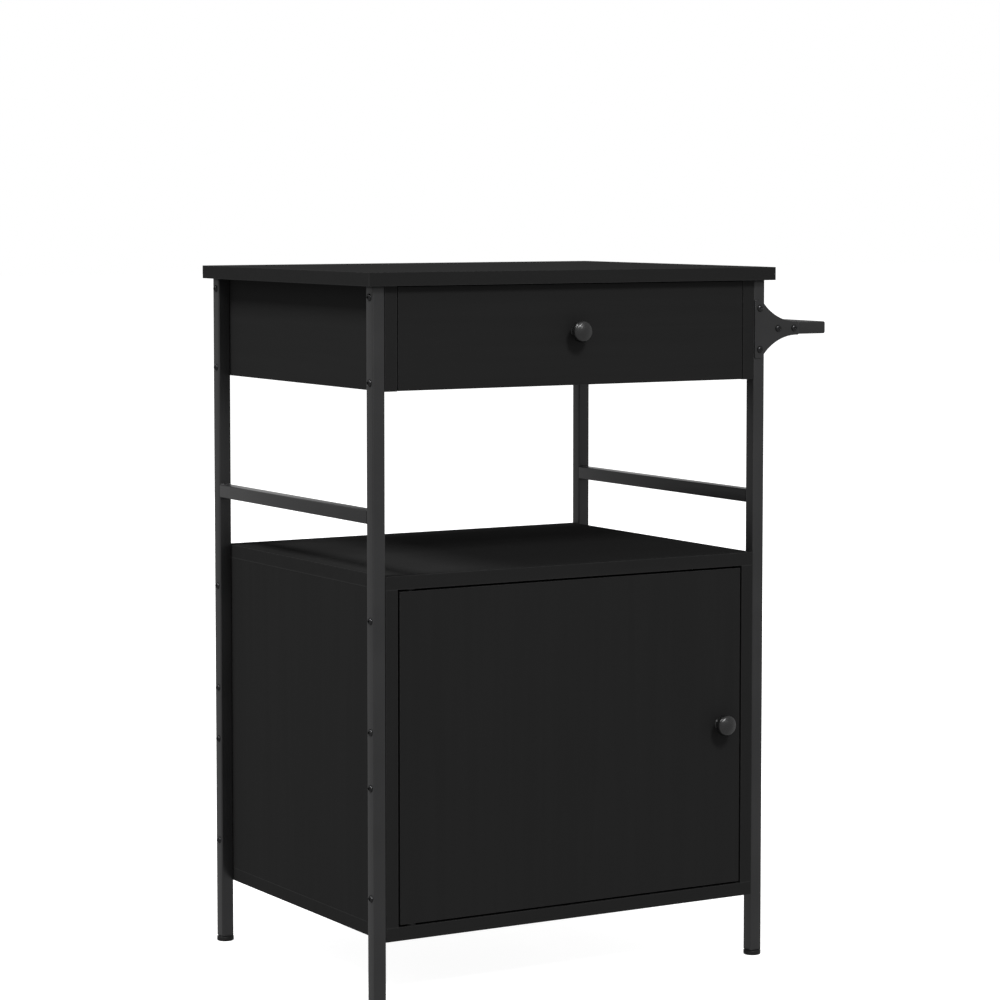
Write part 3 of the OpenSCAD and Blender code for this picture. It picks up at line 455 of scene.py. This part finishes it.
def make_welds():
    """Short rippled fillets above and below each rail's ends."""
    random.seed(4)
    mesh = bmesh.new()
    for node in RAILS:
        low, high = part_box(node)
        middle = (low.x + high.x) / 2
        half = (high.x - low.x) / 2 - TUBE_RADIUS
        for y, inwards in ((low.y, 1), (high.y, -1)):
            for z, outwards in ((low.z, -1), (high.z, 1)):
                rings = []
                for i in range(WELD_RIPPLES + 1):
                    x = middle - half + 2 * half * i / WELD_RIPPLES
                    taper = 0.35 + 0.65 * min(1.0, min(i, WELD_RIPPLES - i) / 3)
                    ripple = 1 + 0.10 * math.sin(i * 2.1) + random.uniform(-0.03, 0.03)
                    rings.append(weld_ring(x, y, z, WELD_SIZE * taper * ripple, inwards, outwards))
                add_loft(mesh, rings, Matrix.Identity(4))
    new_piece("rail_welds", mesh, CARCASE, "powder_steel", STEEL)


# ---------------------------------------------------------------- screws and bolts
HEAD_RADIUS = 4.1 * MM
HEAD_HEIGHT = 2.6 * MM
HEAD_RIM = 0.25 * MM     # chamfer of the head's seat
SOCKET_FLAT = 1.26 * MM  # from the key hole's middle to its flats
SOCKET_LIP = 0.22 * MM
SOCKET_DEPTH = 1.2 * MM
SHANK_RADIUS = 2.45 * MM
THREAD_PITCH = 0.8 * MM
TURN = [2 * math.pi * i / 36 for i in range(36)]
# CAD node, the axis its screws lie along, the new piece's name and its shanks' length
SCREW_SETS = (("leg_bolts", 0, "leg_bolt_set", 24 * MM),
              ("bracket_bolts", 1, "bracket_bolt_set", 10 * MM),
              ("handle_bar_screws", 1, "handle_screw_set", 35 * MM))


def hexagon(flat, z):
    """Ring in the shape of a hexagon, with as many points as the round ones."""
    ring = []
    for a in TURN:
        local = (a + math.pi / 6) % (math.pi / 3) - math.pi / 6
        ring.append((flat * math.cos(a) / math.cos(local), flat * math.sin(a) / math.cos(local), z))
    return ring


def add_button_head(mesh, place, direction, spin):
    """Domed screw head with a hexagonal key hole, its seat on place."""
    profile = [(HEAD_RADIUS - HEAD_RIM, 0.0), (HEAD_RADIUS, HEAD_RIM)]
    for a in (math.radians(degrees) for degrees in range(12, 73, 10)):
        profile.append((HEAD_RADIUS * math.cos(a) ** 0.9, HEAD_RIM + (HEAD_HEIGHT - HEAD_RIM) * math.sin(a)))
    rings = [[(r * math.cos(a), r * math.sin(a), z) for a in TURN] for r, z in profile]
    crown = profile[-1][1] + 0.10 * MM
    rings.append(hexagon(SOCKET_FLAT + SOCKET_LIP, crown))
    rings.append(hexagon(SOCKET_FLAT, crown - 0.2 * MM))
    rings.append(hexagon(SOCKET_FLAT, crown - SOCKET_DEPTH))
    rings.append(hexagon(SOCKET_FLAT * 0.4, crown - SOCKET_DEPTH - 0.35 * MM))
    add_loft(mesh, rings, turned(direction, place) @ Matrix.Rotation(spin, 4, "Z"))


def solid_places(node, axis):
    """Outer end and side of each separate solid of a CAD node, along an axis."""
    mesh = bmesh.new()
    mesh.from_mesh(NODES[node].data)
    bmesh.ops.remove_doubles(mesh, verts=mesh.verts, dist=SAME_POINT)
    seen = set()
    boxes = []
    for start in mesh.verts:
        if start in seen:
            continue
        stack = [start]
        seen.add(start)
        low = Vector(start.co)
        high = Vector(start.co)
        while stack:
            vert = stack.pop()
            low = Vector(map(min, low, vert.co))
            high = Vector(map(max, high, vert.co))
            for edge in vert.link_edges:
                other = edge.other_vert(vert)
                if other not in seen:
                    seen.add(other)
                    stack.append(other)
        boxes.append((low, high))
    mesh.free()
    middle = sum(((low[axis] + high[axis]) / 2 for low, high in boxes)) / len(boxes)
    places = []
    for low, high in boxes:
        centre = (low + high) / 2
        side = 1 if centre[axis] > middle else -1
        centre[axis] = high[axis] if side > 0 else low[axis]
        places.append((centre, side))
    return places


def add_shank(mesh, seat, direction, length):
    """Threaded shank from the seat inwards: rings that rise and fall with the thread."""
    profile = [(0.0, 0.02 * MM), (SHANK_RADIUS - 0.05 * MM, 0.02 * MM)]
    for i in range(int((length - 1.5 * MM) / THREAD_PITCH)):
        depth = -0.6 * MM - i * THREAD_PITCH
        profile += [(SHANK_RADIUS - 0.4 * MM, depth), (SHANK_RADIUS, depth - THREAD_PITCH / 2)]
    profile += [(1.6 * MM, -length + 0.2 * MM), (1.3 * MM, -length), (0.0, -length)]
    add_lathe(mesh, profile, 14, turned(direction, seat))


def make_screws():
    random.seed(11)
    for node, axis, name, length in SCREW_SETS:
        mesh = bmesh.new()
        for place, side in solid_places(node, axis):
            direction = Vector((0, 0, 0))
            direction[axis] = side
            seat = place - direction * HEAD_HEIGHT
            add_button_head(mesh, seat, direction, random.uniform(0, math.pi / 3))
            add_shank(mesh, seat, direction, length)
        new_piece(name, mesh, CARCASE, "black_screws", SCREW_BLACK, node)


# ---------------------------------------------------------------- handle
BAR_CORNER = 2.2 * MM    # radius of the handle bar's long edges
BAR_END = 0.9 * MM       # and of its ends
BRACKET_HALF_HEIGHT = 33.5 * MM
ARM_HALF_HEIGHT = 7.75 * MM
BRACKET_RADIUS = 60 * MM
ARM_FLAT = 3 * MM
ARM_CHAMFER = 0.8 * MM
BRACKET_CHAMFER = 1.0 * MM
BRACKET_EDGE = 0.6 * MM


def make_handle():
    low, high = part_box("handle_bar")
    mesh = bmesh.new()
    outline = round_outline(high.x - low.x, high.z - low.z, BAR_CORNER, 6)
    place = turned((0, -1, 0), ((low.x + high.x) / 2, high.y, (low.z + high.z) / 2))
    add_bar(mesh, outline, high.y - low.y, BAR_END, place, 4)
    new_piece("handle_board", mesh, CARCASE, "handle_board",
              board_material("handle_bar", HANDLE_BLACK, gloss=0.15), "handle_bar")
    for node in BRACKETS:
        low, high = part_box(node)
        centre_z = (low.z + high.z) / 2
        curve_x = high.x - ARM_FLAT
        reach = ARM_HALF_HEIGHT + BRACKET_RADIUS
        start = 270 - math.degrees(math.acos((reach - BRACKET_HALF_HEIGHT) / BRACKET_RADIUS))
        upper = [(high.x, ARM_HALF_HEIGHT - ARM_CHAMFER), (high.x - ARM_CHAMFER, ARM_HALF_HEIGHT)]
        upper += arc(curve_x, reach, BRACKET_RADIUS, 270, start, 28)
        upper += [(low.x + BRACKET_CHAMFER, BRACKET_HALF_HEIGHT),
                  (low.x, BRACKET_HALF_HEIGHT - BRACKET_CHAMFER)]
        outline = upper + [(x, -z) for x, z in reversed(upper)]
        mesh = bmesh.new()
        matrix = Matrix.Translation((0, high.y, centre_z)) @ Matrix.Rotation(math.radians(90), 4, "X")
        add_bar(mesh, outline, high.y - low.y, BRACKET_EDGE, matrix)
        name = node.replace("_handle_bracket", "_bracket_plate")
        new_piece(name, mesh, CARCASE, "powder_steel", STEEL, node)


# ---------------------------------------------------------------- knobs and feet
FOOT_RADIUS = 10 * MM
KNOB_HEAD = 12.0 * MM    # thickness of the head
KNOB_EDGE = 6.0 * MM     # radius between the head's side and its face
KNOB_BACK = 2.6 * MM     # radius between the head's side and its back
KNOB_DOME = 1.7 * MM     # how far the face rises


def knob_profile(radius, out):
    """Half section of a turned knob: a short flared neck, and a thick head with a slightly domed face."""
    profile = [(0.0, 0.0), (6.2 * MM, 0.0)]
    profile += arc(6.0 * MM, 0.5 * MM, 0.5 * MM, -60, 60, 4)
    profile += arc(11.2 * MM, 5.0 * MM, 5.3 * MM, 218, 128, 16)
    profile += arc(radius - KNOB_BACK, out - KNOB_HEAD + KNOB_BACK, KNOB_BACK, -72, 0, 10)
    profile += arc(radius - KNOB_EDGE, out - KNOB_DOME - KNOB_EDGE, KNOB_EDGE, 0, 72, 14)
    face = profile[-1]
    for step in range(1, 7):
        share = 1 - step / 7
        profile.append((face[0] * share, face[1] + (out - face[1]) * (1 - share ** 2)))
    profile.append((0.0, out))
    return profile


def make_knobs():
    for node, body in (("drawer_knob", DRAWER), ("door_knob", DOOR)):
        low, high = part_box(node)
        mesh = bmesh.new()
        seat = ((low.x + high.x) / 2, high.y, (low.z + high.z) / 2)
        add_lathe(mesh, knob_profile((high.x - low.x) / 2, high.y - low.y), 72, turned((0, -1, 0), seat))
        new_piece(node + "_turned", mesh, body, "knob_metal", GUNMETAL, node)


def make_feet():
    """Round glides: a flat base with a soft lower edge and a chamfer under the leg."""
    mesh = bmesh.new()
    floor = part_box("feet")[0].z
    for leg in LEGS:
        low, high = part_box(leg)
        height = low.z - floor
        top = height - 0.05 * MM
        profile = [(0.0, 0.0), (FOOT_RADIUS * 0.72, 0.0)]
        profile += arc(FOOT_RADIUS - 1.3 * MM, 1.3 * MM, 1.3 * MM, -75, 0, 5)
        profile += arc(FOOT_RADIUS - 1.2 * MM, height - 1.7 * MM, 1.2 * MM, 0, 80, 5)
        profile += [(FOOT_RADIUS * 0.8, height - 0.3 * MM), (FOOT_RADIUS * 0.6, top), (0.0, top)]
        middle = Matrix.Translation(((low.x + high.x) / 2, (low.y + high.y) / 2, floor))
        add_lathe(mesh, profile, 48, middle)
    new_piece("foot_glides", mesh, CARCASE, "black_plastic", BLACK_PLASTIC, "feet")


# ---------------------------------------------------------------- CAD nodes that stay
ZINC_NODES = ("panel_inserts", "bracket_rivet_nuts", "cam_locks", "cam_bolts", "carcase_screws",
              "small_screws", "cabinet_roller_rivets", "drawer_roller_rivets", "drawer_runner_screws",
              "drawer_cam_locks", "drawer_cam_bolts", "drawer_knob_screw", "door_knob_screw", "strike_plate")
NYLON_NODES = ("left_cabinet_roller", "right_cabinet_roller", "left_drawer_roller", "right_drawer_roller")
RUNNER_NODES = ("left_cabinet_runner", "right_cabinet_runner", "left_drawer_runner", "right_drawer_runner")
# Axis of the grain on the boards where it isn't taken from their longest side
GRAIN = {"door": 2, "lower_left_panel": 2, "lower_right_panel": 2, "lower_back_panel": 0}
BOARD_EDGE = 0.45 * MM
DRAWER_BOARD_EDGE = 0.3 * MM


def finish_cad_nodes():
    for node in BOARDS:
        dress(soften(node, BOARD_EDGE), board_material(node, BOARD_BLACK, GRAIN.get(node)))
    for node in DRAWER_BOARDS:
        dress(soften(node, DRAWER_BOARD_EDGE), board_material(node, worn(BOARD_BLACK, 1.25)))
    for node in ZINC_NODES:
        dress(NODES[node], ZINC)
    dress(NODES["door_pivot_pins"], SCREW_BLACK)
    for node in NYLON_NODES:
        dress(NODES[node], NYLON)
    for node in RUNNER_NODES:
        dress(soften(node, 0.2 * MM), RUNNER_COAT)
    for node in ("wood_dowels", "drawer_dowels"):
        dress(NODES[node], BEECH)
    for node in ("leg_top_plugs", "pivot_bushes"):
        dress(NODES[node], BLACK_PLASTIC)
    dress(soften("magnet_catch", 0.5 * MM), BLACK_PLASTIC)
    dress(soften("catch_magnet", 0.3 * MM), NICKEL)


# ---------------------------------------------------------------- studio
FLOOR_HALF = 30.0
FLOOR_GREY = 0.50
FLOOR_GLOW = 0.91        # the floor's own light, so that it looks as white as the backdrop
SURROUND = 0.54          # soft light from all around
SHEEN = 0.62             # how bright the surroundings look in reflections
BACKDROP = 1.0           # how bright they look to the camera
DIM_SIDE = (-0.51, 0.86, 0.0)            # towards the back left, where reflections are dimmer
DIM = 0.66                               # share of the sheen that is left there
# Name, place from the cart's middle in x and y, height, size and power; they all aim at the middle
LIGHTS = (("key_front", -0.2, -5.2, 5.0, 1.4, 215.0),
          ("fill_left", -4.3, 0.35, 6.3, 2.0, 425.0),
          ("shine", -1.9, -4.2, 4.4, 1.5, 130.0),
          ("soft_right", 5.6, 0.4, 0.9, 2.4, 95.0),
          ("soft_back", 0.4, 5.6, 0.9, 2.4, 95.0))
ONLY_REFLECTED = ("shine",)
NEVER_REFLECTED = ("soft_right", "soft_back")


def make_floor():
    """A pale floor that fades into the backdrop, with a soft shadow under the cart."""
    mesh = bmesh.new()
    bmesh.ops.create_grid(mesh, x_segments=1, y_segments=1, size=FLOOR_HALF)
    data = bpy.data.meshes.new("studio_floor")
    mesh.to_mesh(data)
    mesh.free()
    floor = bpy.data.objects.new("studio_floor", data)
    bpy.context.scene.collection.objects.link(floor)
    g = Graph("studio_floor")
    dress(floor, g.set(Base_Color=(*grey(FLOOR_GREY), 1.0), Roughness=0.9, Specular_IOR_Level=0.0,
                       Emission_Color=(1.0, 1.0, 1.0, 1.0), Emission_Strength=FLOOR_GLOW))
    floor.visible_diffuse = False
    floor.visible_glossy = False


def make_lights():
    middle = (cad_low + cad_high) / 2
    for name, x, y, height, size, power in LIGHTS:
        light = bpy.data.lights.new(name, "AREA")
        light.size = size
        light.energy = power
        obj = bpy.data.objects.new(name, light)
        bpy.context.scene.collection.objects.link(obj)
        obj.location = (middle.x + x, middle.y + y, height)
        obj.rotation_euler = (middle - obj.location).to_track_quat("-Z", "Y").to_euler()
        obj.visible_diffuse = name not in ONLY_REFLECTED
        obj.visible_glossy = name not in NEVER_REFLECTED


def make_world():
    """White surroundings, with a brightness of their own for the camera, for reflections and for light."""
    world = bpy.data.worlds.new("studio")
    bpy.context.scene.world = world
    world.use_nodes = True
    nodes = world.node_tree.nodes
    links = world.node_tree.links
    background = nodes["Background"]
    background.inputs["Color"].default_value = (1.0, 1.0, 1.0, 1.0)
    path = nodes.new("ShaderNodeLightPath")

    towards = nodes.new("ShaderNodeVectorMath")
    towards.operation = "DOT_PRODUCT"
    towards.inputs[1].default_value = DIM_SIDE
    links.new(nodes.new("ShaderNodeTexCoord").outputs["Generated"], towards.inputs[0])
    sheen = nodes.new("ShaderNodeMapRange")
    sheen.interpolation_type = "SMOOTHSTEP"
    for key, number in (("From Min", 0.4), ("From Max", 1.0), ("To Min", SHEEN), ("To Max", SHEEN * DIM)):
        sheen.inputs[key].default_value = number
    links.new(towards.outputs["Value"], sheen.inputs["Value"])

    reflected = nodes.new("ShaderNodeMix")
    reflected.inputs[2].default_value = SURROUND
    links.new(sheen.outputs["Result"], reflected.inputs[3])
    links.new(path.outputs["Is Glossy Ray"], reflected.inputs["Factor"])
    seen = nodes.new("ShaderNodeMix")
    seen.inputs[3].default_value = BACKDROP
    links.new(reflected.outputs[0], seen.inputs[2])
    links.new(path.outputs["Is Camera Ray"], seen.inputs["Factor"])
    links.new(seen.outputs[0], background.inputs["Strength"])


def make_camera():
    low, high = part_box("worktop")
    middle = (low + high) / 2
    data = bpy.data.cameras.new("camera")
    data.sensor_width = SENSOR
    data.lens = FOCAL_LENGTH
    data.shift_y = VERTICAL_SHIFT
    data.clip_end = 100.0
    camera = bpy.data.objects.new("camera", data)
    bpy.context.scene.collection.objects.link(camera)
    camera.location = (middle.x + CAMERA_OFFSET[0], middle.y + CAMERA_OFFSET[1], CAMERA_HEIGHT)
    camera.rotation_euler = (math.radians(90) - CAMERA_TILT, 0.0, -CAMERA_YAW)
    bpy.context.scene.camera = camera


bpy.context.scene.view_settings.view_transform = "Standard"
make_camera()
make_floor()
make_world()
make_lights()
finish_cad_nodes()
make_tubes()
make_welds()
make_screws()
make_handle()
make_knobs()
make_feet()
